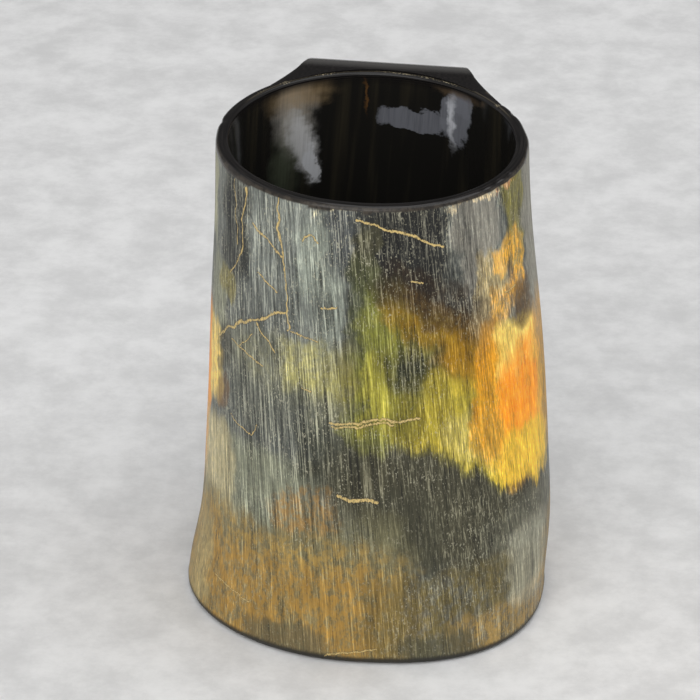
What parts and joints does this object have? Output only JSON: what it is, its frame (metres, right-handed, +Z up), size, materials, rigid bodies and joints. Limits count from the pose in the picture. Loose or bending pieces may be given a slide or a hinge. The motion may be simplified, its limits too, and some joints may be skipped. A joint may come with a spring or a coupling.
{
  "type": "horn drinking cup",
  "caption": "Drinking cup cut from a hollow horn, flared at the foot, with a folded strip of the same horn as its handle and a wooden disc closing the base.",
  "frame": {"origin": "on the standing face, on the line of the bore", "axes": "+Z up along the cup, +Y towards the handle, +X to the right of someone facing the front of the cup"},
  "size_m": [0.1031, 0.1206, 0.1421],
  "materials": {
    "horn": "natural horn, dark grey with fine pale grain, olive and amber swaths, tan at the foot; satin outside, glossy inside",
    "disc_wood": "dark oiled hardwood",
    "resin": "dark amber sealing resin, glossy",
    "peg_wood": "dark hardwood, end grain"
  },
  "bodies": {
    "root": {"horn_shell": "horn", "base_disc": "disc_wood", "base_bead": "resin", "handle_pegs": "peg_wood"}
  },
  "joints": []
}
